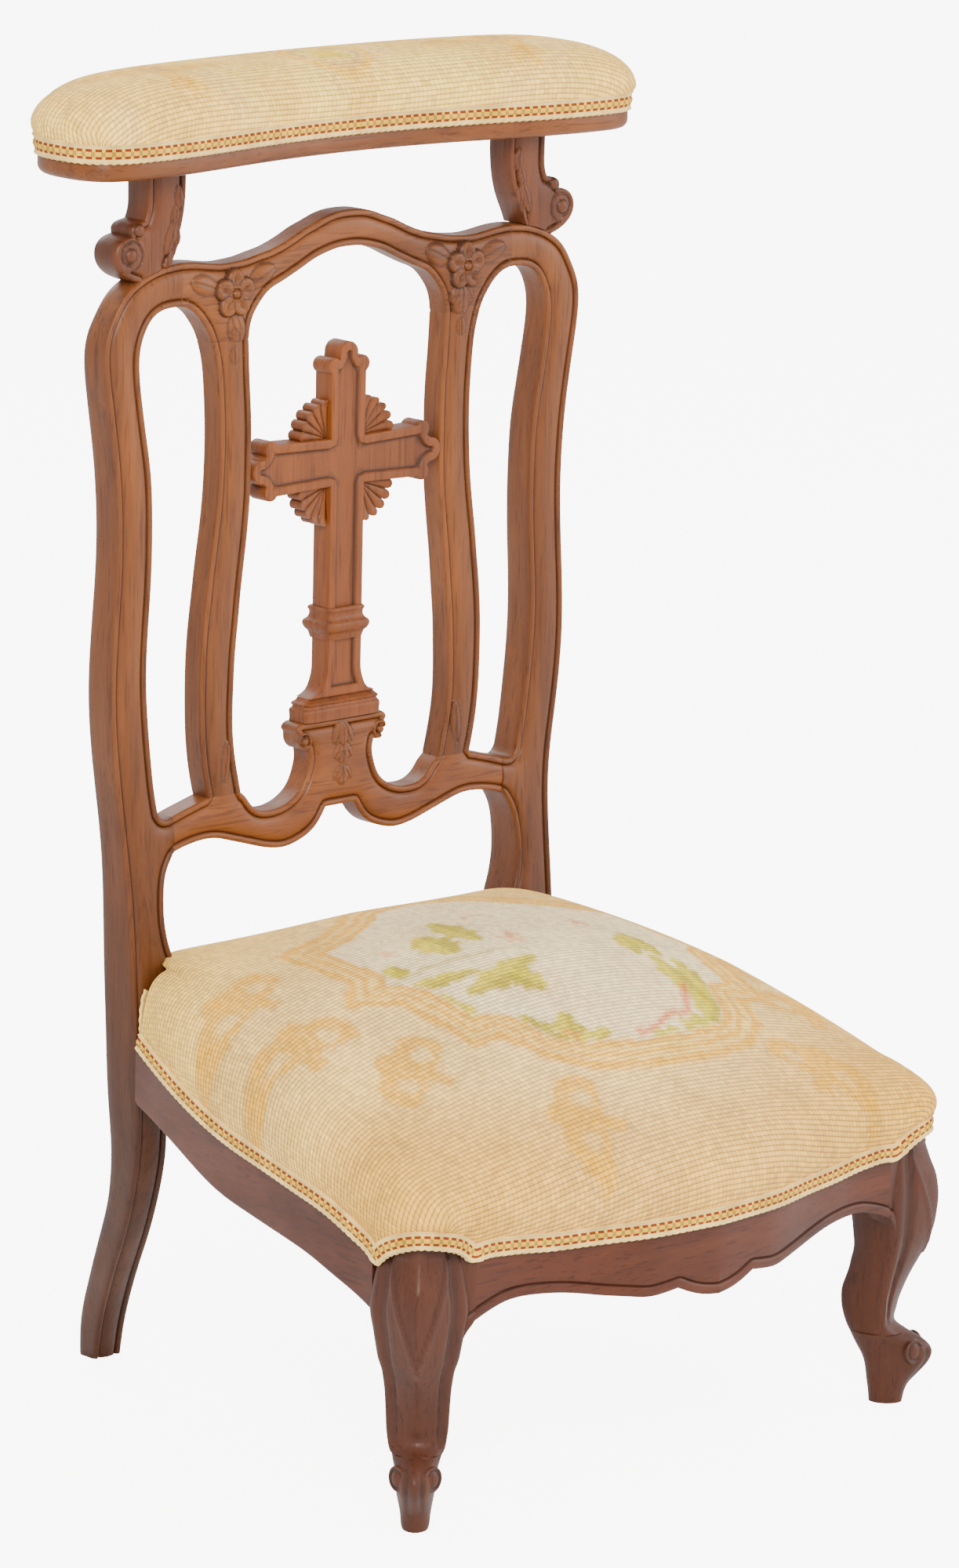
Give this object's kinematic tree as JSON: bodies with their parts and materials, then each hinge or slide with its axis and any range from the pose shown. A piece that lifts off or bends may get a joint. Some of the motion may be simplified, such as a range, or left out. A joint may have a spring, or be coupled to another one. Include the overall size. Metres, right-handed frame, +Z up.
{
  "type": "kneeling bench",
  "caption": "Low-seated walnut kneeling bench with cabriole front legs, an open carved back holding a cross, and a padded arm rest on top",
  "frame": {"origin": "on the floor, under the middle of the bounding box", "axes": "+Z up, +Y to the back of the bench, +X to the right as seen from the front"},
  "size_m": [0.4964, 0.4772, 0.8903],
  "materials": {
    "walnut": "waxed walnut, dark grain",
    "walnut_carved": "carved waxed walnut",
    "walnut_plain": "plain sawn walnut",
    "beech": "unfinished beech",
    "needlework": "wool needlework, counted stitches",
    "braid": "woven upholstery braid",
    "stuffing": "curled hair stuffing",
    "webbing": "jute webbing",
    "canvas": "coarse hessian",
    "tack": "blued cut tacks",
    "spring": "coppered steel wire"
  },
  "bodies": {
    "root": {"rear_leg_left": "walnut", "rear_leg_right": "walnut", "crest_rail": "walnut", "splat_left": "walnut", "splat_right": "walnut", "lower_rail": "walnut", "cross": "walnut", "cross_rays": "walnut_carved", "cross_collar": "walnut", "cross_plinth": "walnut", "arm_post_left": "walnut", "arm_post_right": "walnut", "arm_board": "walnut", "arm_stuffing": "stuffing", "arm_cover": "needlework", "arm_gimp": "braid", "front_rail": "walnut", "side_rail_left": "walnut", "side_rail_right": "walnut", "rear_rail": "walnut_plain", "front_leg_left": "walnut", "front_leg_right": "walnut", "glue_blocks": "beech", "webbing_lengthwise": "webbing", "webbing_crosswise": "webbing", "webbing_tacks": "tack", "seat_springs": "spring", "spring_canvas": "canvas", "seat_stuffing": "stuffing", "seat_cover": "needlework", "seat_gimp": "braid", "crest_dowels": "beech", "splat_dowels": "beech", "lower_rail_dowels": "beech", "post_dowels": "beech", "cross_dowels": "beech", "front_rail_dowels": "beech", "side_rail_dowels": "beech", "rear_rail_dowels": "beech"}
  },
  "joints": []
}
